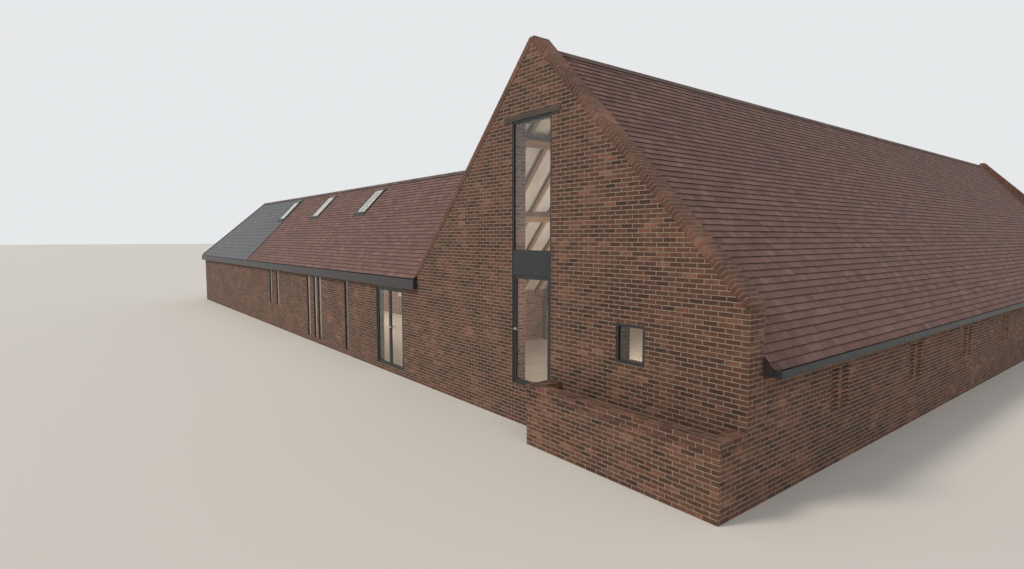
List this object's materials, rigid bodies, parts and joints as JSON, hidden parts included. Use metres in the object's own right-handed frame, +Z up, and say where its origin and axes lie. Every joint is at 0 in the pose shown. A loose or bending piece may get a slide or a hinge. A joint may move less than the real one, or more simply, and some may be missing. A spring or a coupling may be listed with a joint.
{
  "type": "brick barn with a glazed gable and a long lower wing",
  "caption": "Hollow brick barn with raised gable copings, tiled roof, oak trusses and glazed gable slot, joined to a long low wing with a slate hipped end; its glazed doors open.",
  "frame": {"origin": "on the ground under the outer face of the front gable, below the barn's ridge line", "axes": "+Y runs back along the barn's ridge, +X to the right of someone facing the gable, +Z up"},
  "size_m": [33.85, 28.818, 7.0477],
  "materials": {
    "brick": "rough handmade brick with pale lime mortar",
    "coping_brick": "rough brick laid on edge",
    "roof_tile": "matt plain clay tiles",
    "ridge_tile": "matt dark clay",
    "lead": "dull grey sheet lead",
    "slate": "smooth split slate",
    "wall_head": "sawn timber wall head",
    "dark_oak": "weathered dark timber",
    "oak": "sawn oak",
    "dark_metal": "satin anthracite paint",
    "leaf_metal": "satin anthracite coating",
    "gutter_metal": "satin slate-blue coating",
    "handle_steel": "brushed steel",
    "floor_stone": "honed pale limestone",
    "glass": "clear double glazing"
  },
  "bodies": {
    "building": {"gable_left": "brick", "gable_right": "brick", "gable_head": "brick", "door_bases": "brick", "rear_gable": "brick", "copings": "coping_brick", "side_wall_bases": "brick", "side_wall_piers": "brick", "side_wall_heads": "brick", "vent_lattices": "brick", "planter": "brick", "wing_front_wall": "brick", "wing_rear_wall": "brick", "wing_end_wall": "brick", "wing_wall_heads": "wall_head", "wing_end_head": "wall_head", "slot_lintels": "dark_oak", "spandrel_panel": "dark_metal", "window_frames": "dark_metal", "window_panes": "glass", "door_frames": "dark_metal", "hinge_plates": "handle_steel", "barn_floor": "floor_stone", "wing_floor": "floor_stone", "roof_right": "roof_tile", "roof_left": "roof_tile", "ridge_tiles": "ridge_tile", "wing_tiled_front": "roof_tile", "wing_tiled_rear": "roof_tile", "wing_slates": "slate", "eaves_gutters": "gutter_metal", "wing_end_gutter": "gutter_metal", "principals": "oak", "truss_beams": "oak", "truss_braces": "oak", "truss_posts": "oak", "purlins": "oak", "rafters": "oak", "lead_caps": "lead"},
    "gable_door": {"door_leaf": "leaf_metal", "door_pane": "glass", "door_fittings": "handle_steel"},
    "wing_door_left": {"wing_leaf_left": "leaf_metal", "wing_pane_left": "glass", "wing_fittings_left": "handle_steel"},
    "wing_door_right": {"wing_leaf_right": "leaf_metal", "wing_pane_right": "glass", "wing_fittings_right": "handle_steel"}
  },
  "joints": [
    {"name": "gable_door_hinge", "type": "hinge", "parent": "building", "child": "gable_door", "pos_m": [0.482, 0.076, 0.75], "axis": [0, 0, -1], "range_deg": [0, 90]},
    {"name": "wing_door_left_hinge", "type": "hinge", "parent": "building", "child": "wing_door_left", "pos_m": [-6.469, 0.076, 0.15], "axis": [0, 0, 1], "range_deg": [0, 90]},
    {"name": "wing_door_right_hinge", "type": "hinge", "parent": "building", "child": "wing_door_right", "pos_m": [-5.015, 0.076, 0.15], "axis": [0, 0, -1], "range_deg": [0, 90]}
  ]
}
